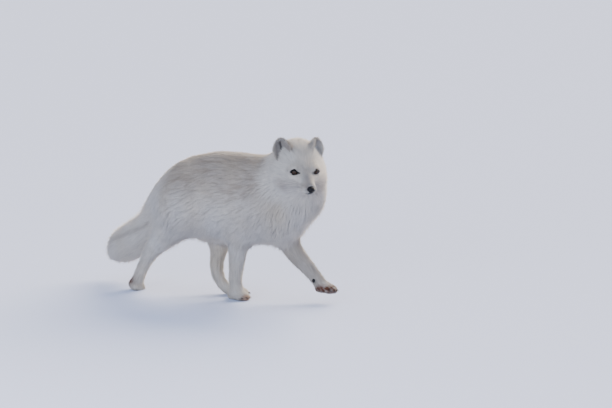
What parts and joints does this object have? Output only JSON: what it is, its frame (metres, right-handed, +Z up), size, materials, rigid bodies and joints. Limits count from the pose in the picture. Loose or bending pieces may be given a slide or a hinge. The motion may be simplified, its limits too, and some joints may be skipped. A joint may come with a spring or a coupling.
{
  "type": "arctic fox",
  "caption": "Life-size arctic fox in its white winter coat, walking with the head turned to its right, as a still museum-type model.",
  "frame": {"origin": "on the floor, under the middle of the whole animal's box", "axes": "+X from tail to chest along the body, +Y to the animal's left, +Z up"},
  "size_m": [0.6116, 0.2054, 0.3767],
  "materials": {
    "coat": "thick white winter fur",
    "eye": "wet dark brown eye",
    "nose": "moist black nose leather"
  },
  "bodies": {
    "root": {"trunk": "coat", "tail": "coat", "neck": "coat", "head": "coat", "muzzle": "coat", "fore_leg_right": "coat", "fore_paw_right": "coat", "fore_leg_left": "coat", "fore_paw_left": "coat", "hind_leg_right": "coat", "hind_paw_right": "coat", "hind_leg_left": "coat", "hind_paw_left": "coat", "ear_left": "coat", "ear_right": "coat", "eye_left": "eye", "eye_right": "eye", "nose": "nose"}
  },
  "joints": []
}
